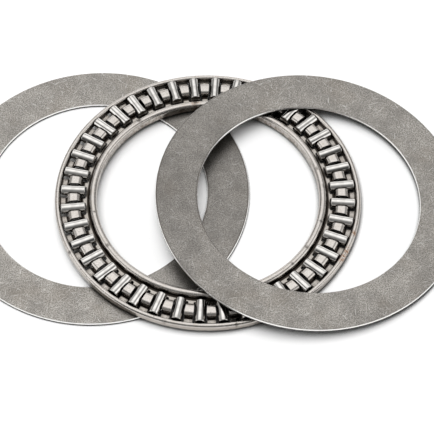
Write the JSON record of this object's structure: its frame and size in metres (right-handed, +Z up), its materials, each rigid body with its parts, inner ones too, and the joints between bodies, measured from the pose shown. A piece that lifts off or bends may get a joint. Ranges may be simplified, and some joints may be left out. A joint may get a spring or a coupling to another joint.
{
  "type": "needle roller thrust bearing",
  "caption": "Thrust bearing taken apart and fanned out: two thin plain washers and, between them, a pressed sheet cage that holds radial cylindrical needle rollers.",
  "frame": {"origin": "on the bench, under the middle of the fanned-out bearing's footprint", "axes": "+X along the fan from the lower washer to the upper washer, +Y across it, +Z up from the bench"},
  "size_m": [0.1524, 0.0902, 0.0078],
  "materials": {
    "washer_steel": "tumbled, dull mid grey, finely mottled and scratched",
    "cage_steel": "pressed sheet, satin, warm grey, with a few brown stains",
    "roller_steel": "ground, bright and fairly glossy"
  },
  "bodies": {
    "lower_washer": {"lower_washer": "washer_steel"},
    "cage": {"cage": "cage_steel"},
    "upper_washer": {"upper_washer": "washer_steel"},
    "roller_01": {"needle_roller_01": "roller_steel"},
    "roller_02": {"needle_roller_02": "roller_steel"},
    "roller_03": {"needle_roller_03": "roller_steel"},
    "roller_04": {"needle_roller_04": "roller_steel"},
    "roller_05": {"needle_roller_05": "roller_steel"},
    "roller_06": {"needle_roller_06": "roller_steel"},
    "roller_07": {"needle_roller_07": "roller_steel"},
    "roller_08": {"needle_roller_08": "roller_steel"},
    "roller_09": {"needle_roller_09": "roller_steel"},
    "roller_10": {"needle_roller_10": "roller_steel"},
    "roller_11": {"needle_roller_11": "roller_steel"},
    "roller_12": {"needle_roller_12": "roller_steel"},
    "roller_13": {"needle_roller_13": "roller_steel"},
    "roller_14": {"needle_roller_14": "roller_steel"},
    "roller_15": {"needle_roller_15": "roller_steel"},
    "roller_16": {"needle_roller_16": "roller_steel"},
    "roller_17": {"needle_roller_17": "roller_steel"},
    "roller_18": {"needle_roller_18": "roller_steel"},
    "roller_19": {"needle_roller_19": "roller_steel"},
    "roller_20": {"needle_roller_20": "roller_steel"},
    "roller_21": {"needle_roller_21": "roller_steel"},
    "roller_22": {"needle_roller_22": "roller_steel"},
    "roller_23": {"needle_roller_23": "roller_steel"},
    "roller_24": {"needle_roller_24": "roller_steel"},
    "roller_25": {"needle_roller_25": "roller_steel"},
    "roller_26": {"needle_roller_26": "roller_steel"},
    "roller_27": {"needle_roller_27": "roller_steel"},
    "roller_28": {"needle_roller_28": "roller_steel"},
    "roller_29": {"needle_roller_29": "roller_steel"},
    "roller_30": {"needle_roller_30": "roller_steel"},
    "roller_31": {"needle_roller_31": "roller_steel"},
    "roller_32": {"needle_roller_32": "roller_steel"},
    "roller_33": {"needle_roller_33": "roller_steel"},
    "roller_34": {"needle_roller_34": "roller_steel"},
    "roller_35": {"needle_roller_35": "roller_steel"},
    "roller_36": {"needle_roller_36": "roller_steel"},
    "roller_37": {"needle_roller_37": "roller_steel"},
    "roller_38": {"needle_roller_38": "roller_steel"},
    "roller_39": {"needle_roller_39": "roller_steel"},
    "roller_40": {"needle_roller_40": "roller_steel"}
  },
  "joints": [
    {"name": "upper_washer_spin", "type": "hinge", "parent": "lower_washer", "child": "upper_washer", "pos_m": [0.03128, 0.00015, 0.00343], "axis": [0.0758, 0, 0.9971], "continuous": true},
    {"name": "cage_spin", "type": "hinge", "parent": "lower_washer", "child": "cage", "pos_m": [0.00168, -0.00025, 0.00103], "axis": [0.0209, 0, 0.9998], "continuous": true},
    {"name": "roller_01_spin", "type": "hinge", "parent": "cage", "child": "roller_01", "pos_m": [0.0413, 0.00051, 0.0017], "axis": [0.9996, 0.0192, -0.0209], "continuous": true},
    {"name": "roller_02_spin", "type": "hinge", "parent": "cage", "child": "roller_02", "pos_m": [0.04069, 0.00669, 0.00171], "axis": [0.9843, 0.1754, -0.0206], "continuous": true},
    {"name": "roller_03_spin", "type": "hinge", "parent": "cage", "child": "roller_03", "pos_m": [0.03912, 0.0127, 0.00175], "axis": [0.9447, 0.3272, -0.0198], "continuous": true},
    {"name": "roller_04_spin", "type": "hinge", "parent": "cage", "child": "roller_04", "pos_m": [0.03664, 0.0184, 0.0018], "axis": [0.8819, 0.471, -0.0185], "continuous": true},
    {"name": "roller_05_spin", "type": "hinge", "parent": "cage", "child": "roller_05", "pos_m": [0.03329, 0.02363, 0.00187], "axis": [0.7974, 0.6032, -0.0167], "continuous": true},
    {"name": "roller_06_spin", "type": "hinge", "parent": "cage", "child": "roller_06", "pos_m": [0.02917, 0.02828, 0.00195], "axis": [0.6932, 0.7206, -0.0145], "continuous": true},
    {"name": "roller_07_spin", "type": "hinge", "parent": "cage", "child": "roller_07", "pos_m": [0.02436, 0.03222, 0.00206], "axis": [0.572, 0.8202, -0.012], "continuous": true},
    {"name": "roller_08_spin", "type": "hinge", "parent": "cage", "child": "roller_08", "pos_m": [0.01901, 0.03537, 0.00217], "axis": [0.4367, 0.8996, -0.0091], "continuous": true},
    {"name": "roller_09_spin", "type": "hinge", "parent": "cage", "child": "roller_09", "pos_m": [0.01322, 0.03764, 0.00229], "axis": [0.2906, 0.9568, -0.0061], "continuous": true},
    {"name": "roller_10_spin", "type": "hinge", "parent": "cage", "child": "roller_10", "pos_m": [0.00715, 0.03897, 0.00242], "axis": [0.1374, 0.9905, -0.0029], "continuous": true},
    {"name": "roller_11_spin", "type": "hinge", "parent": "cage", "child": "roller_11", "pos_m": [0.00095, 0.03934, 0.00255], "axis": [-0.0192, 0.9998, 0.0004], "continuous": true},
    {"name": "roller_12_spin", "type": "hinge", "parent": "cage", "child": "roller_12", "pos_m": [-0.00523, 0.03873, 0.00268], "axis": [-0.1753, 0.9845, 0.0037], "continuous": true},
    {"name": "roller_13_spin", "type": "hinge", "parent": "cage", "child": "roller_13", "pos_m": [-0.01124, 0.03717, 0.0028], "axis": [-0.3271, 0.9449, 0.0069], "continuous": true},
    {"name": "roller_14_spin", "type": "hinge", "parent": "cage", "child": "roller_14", "pos_m": [-0.01694, 0.03468, 0.00292], "axis": [-0.4709, 0.8821, 0.0099], "continuous": true},
    {"name": "roller_15_spin", "type": "hinge", "parent": "cage", "child": "roller_15", "pos_m": [-0.02217, 0.03133, 0.00303], "axis": [-0.6031, 0.7976, 0.0126], "continuous": true},
    {"name": "roller_16_spin", "type": "hinge", "parent": "cage", "child": "roller_16", "pos_m": [-0.02681, 0.0272, 0.00313], "axis": [-0.7204, 0.6934, 0.0151], "continuous": true},
    {"name": "roller_17_spin", "type": "hinge", "parent": "cage", "child": "roller_17", "pos_m": [-0.03076, 0.0224, 0.00321], "axis": [-0.82, 0.5721, 0.0172], "continuous": true},
    {"name": "roller_18_spin", "type": "hinge", "parent": "cage", "child": "roller_18", "pos_m": [-0.0339, 0.01704, 0.00328], "axis": [-0.8994, 0.4368, 0.0188], "continuous": true},
    {"name": "roller_19_spin", "type": "hinge", "parent": "cage", "child": "roller_19", "pos_m": [-0.03617, 0.01126, 0.00332], "axis": [-0.9566, 0.2907, 0.02], "continuous": true},
    {"name": "roller_20_spin", "type": "hinge", "parent": "cage", "child": "roller_20", "pos_m": [-0.0375, 0.00519, 0.00335], "axis": [-0.9903, 0.1374, 0.0207], "continuous": true},
    {"name": "roller_21_spin", "type": "hinge", "parent": "cage", "child": "roller_21", "pos_m": [-0.03787, -0.00101, 0.00336], "axis": [-0.9996, -0.0192, 0.0209], "continuous": true},
    {"name": "roller_22_spin", "type": "hinge", "parent": "cage", "child": "roller_22", "pos_m": [-0.03726, -0.0072, 0.00335], "axis": [-0.9843, -0.1754, 0.0206], "continuous": true},
    {"name": "roller_23_spin", "type": "hinge", "parent": "cage", "child": "roller_23", "pos_m": [-0.0357, -0.01321, 0.00331], "axis": [-0.9447, -0.3272, 0.0198], "continuous": true},
    {"name": "roller_24_spin", "type": "hinge", "parent": "cage", "child": "roller_24", "pos_m": [-0.03321, -0.01891, 0.00326], "axis": [-0.8819, -0.471, 0.0185], "continuous": true},
    {"name": "roller_25_spin", "type": "hinge", "parent": "cage", "child": "roller_25", "pos_m": [-0.02986, -0.02414, 0.00319], "axis": [-0.7974, -0.6032, 0.0167], "continuous": true},
    {"name": "roller_26_spin", "type": "hinge", "parent": "cage", "child": "roller_26", "pos_m": [-0.02574, -0.02879, 0.0031], "axis": [-0.6932, -0.7206, 0.0145], "continuous": true},
    {"name": "roller_27_spin", "type": "hinge", "parent": "cage", "child": "roller_27", "pos_m": [-0.02094, -0.03273, 0.003], "axis": [-0.572, -0.8202, 0.012], "continuous": true},
    {"name": "roller_28_spin", "type": "hinge", "parent": "cage", "child": "roller_28", "pos_m": [-0.01558, -0.03588, 0.00289], "axis": [-0.4367, -0.8996, 0.0091], "continuous": true},
    {"name": "roller_29_spin", "type": "hinge", "parent": "cage", "child": "roller_29", "pos_m": [-0.0098, -0.03814, 0.00277], "axis": [-0.2906, -0.9568, 0.0061], "continuous": true},
    {"name": "roller_30_spin", "type": "hinge", "parent": "cage", "child": "roller_30", "pos_m": [-0.00373, -0.03948, 0.00264], "axis": [-0.1374, -0.9905, 0.0029], "continuous": true},
    {"name": "roller_31_spin", "type": "hinge", "parent": "cage", "child": "roller_31", "pos_m": [0.00247, -0.03985, 0.00251], "axis": [0.0192, -0.9998, -0.0004], "continuous": true},
    {"name": "roller_32_spin", "type": "hinge", "parent": "cage", "child": "roller_32", "pos_m": [0.00866, -0.03924, 0.00238], "axis": [0.1753, -0.9845, -0.0037], "continuous": true},
    {"name": "roller_33_spin", "type": "hinge", "parent": "cage", "child": "roller_33", "pos_m": [0.01467, -0.03767, 0.00226], "axis": [0.3271, -0.9449, -0.0069], "continuous": true},
    {"name": "roller_34_spin", "type": "hinge", "parent": "cage", "child": "roller_34", "pos_m": [0.02036, -0.03519, 0.00214], "axis": [0.4709, -0.8821, -0.0099], "continuous": true},
    {"name": "roller_35_spin", "type": "hinge", "parent": "cage", "child": "roller_35", "pos_m": [0.02559, -0.03184, 0.00203], "axis": [0.6031, -0.7976, -0.0126], "continuous": true},
    {"name": "roller_36_spin", "type": "hinge", "parent": "cage", "child": "roller_36", "pos_m": [0.03024, -0.02771, 0.00193], "axis": [0.7204, -0.6934, -0.0151], "continuous": true},
    {"name": "roller_37_spin", "type": "hinge", "parent": "cage", "child": "roller_37", "pos_m": [0.03418, -0.02291, 0.00185], "axis": [0.82, -0.5721, -0.0172], "continuous": true},
    {"name": "roller_38_spin", "type": "hinge", "parent": "cage", "child": "roller_38", "pos_m": [0.03733, -0.01755, 0.00178], "axis": [0.8994, -0.4368, -0.0188], "continuous": true},
    {"name": "roller_39_spin", "type": "hinge", "parent": "cage", "child": "roller_39", "pos_m": [0.03959, -0.01177, 0.00174], "axis": [0.9566, -0.2907, -0.02], "continuous": true},
    {"name": "roller_40_spin", "type": "hinge", "parent": "cage", "child": "roller_40", "pos_m": [0.04093, -0.0057, 0.00171], "axis": [0.9903, -0.1374, -0.0207], "continuous": true}
  ],
  "couplings": [
    {"joint": "cage_spin", "follows": "upper_washer_spin", "ratio": 0.5},
    {"joint": "roller_01_spin", "follows": "upper_washer_spin", "ratio": -13.2},
    {"joint": "roller_02_spin", "follows": "upper_washer_spin", "ratio": -13.2},
    {"joint": "roller_03_spin", "follows": "upper_washer_spin", "ratio": -13.2},
    {"joint": "roller_04_spin", "follows": "upper_washer_spin", "ratio": -13.2},
    {"joint": "roller_05_spin", "follows": "upper_washer_spin", "ratio": -13.2},
    {"joint": "roller_06_spin", "follows": "upper_washer_spin", "ratio": -13.2},
    {"joint": "roller_07_spin", "follows": "upper_washer_spin", "ratio": -13.2},
    {"joint": "roller_08_spin", "follows": "upper_washer_spin", "ratio": -13.2},
    {"joint": "roller_09_spin", "follows": "upper_washer_spin", "ratio": -13.2},
    {"joint": "roller_10_spin", "follows": "upper_washer_spin", "ratio": -13.2},
    {"joint": "roller_11_spin", "follows": "upper_washer_spin", "ratio": -13.2},
    {"joint": "roller_12_spin", "follows": "upper_washer_spin", "ratio": -13.2},
    {"joint": "roller_13_spin", "follows": "upper_washer_spin", "ratio": -13.2},
    {"joint": "roller_14_spin", "follows": "upper_washer_spin", "ratio": -13.2},
    {"joint": "roller_15_spin", "follows": "upper_washer_spin", "ratio": -13.2},
    {"joint": "roller_16_spin", "follows": "upper_washer_spin", "ratio": -13.2},
    {"joint": "roller_17_spin", "follows": "upper_washer_spin", "ratio": -13.2},
    {"joint": "roller_18_spin", "follows": "upper_washer_spin", "ratio": -13.2},
    {"joint": "roller_19_spin", "follows": "upper_washer_spin", "ratio": -13.2},
    {"joint": "roller_20_spin", "follows": "upper_washer_spin", "ratio": -13.2},
    {"joint": "roller_21_spin", "follows": "upper_washer_spin", "ratio": -13.2},
    {"joint": "roller_22_spin", "follows": "upper_washer_spin", "ratio": -13.2},
    {"joint": "roller_23_spin", "follows": "upper_washer_spin", "ratio": -13.2},
    {"joint": "roller_24_spin", "follows": "upper_washer_spin", "ratio": -13.2},
    {"joint": "roller_25_spin", "follows": "upper_washer_spin", "ratio": -13.2},
    {"joint": "roller_26_spin", "follows": "upper_washer_spin", "ratio": -13.2},
    {"joint": "roller_27_spin", "follows": "upper_washer_spin", "ratio": -13.2},
    {"joint": "roller_28_spin", "follows": "upper_washer_spin", "ratio": -13.2},
    {"joint": "roller_29_spin", "follows": "upper_washer_spin", "ratio": -13.2},
    {"joint": "roller_30_spin", "follows": "upper_washer_spin", "ratio": -13.2},
    {"joint": "roller_31_spin", "follows": "upper_washer_spin", "ratio": -13.2},
    {"joint": "roller_32_spin", "follows": "upper_washer_spin", "ratio": -13.2},
    {"joint": "roller_33_spin", "follows": "upper_washer_spin", "ratio": -13.2},
    {"joint": "roller_34_spin", "follows": "upper_washer_spin", "ratio": -13.2},
    {"joint": "roller_35_spin", "follows": "upper_washer_spin", "ratio": -13.2},
    {"joint": "roller_36_spin", "follows": "upper_washer_spin", "ratio": -13.2},
    {"joint": "roller_37_spin", "follows": "upper_washer_spin", "ratio": -13.2},
    {"joint": "roller_38_spin", "follows": "upper_washer_spin", "ratio": -13.2},
    {"joint": "roller_39_spin", "follows": "upper_washer_spin", "ratio": -13.2},
    {"joint": "roller_40_spin", "follows": "upper_washer_spin", "ratio": -13.2}
  ]
}
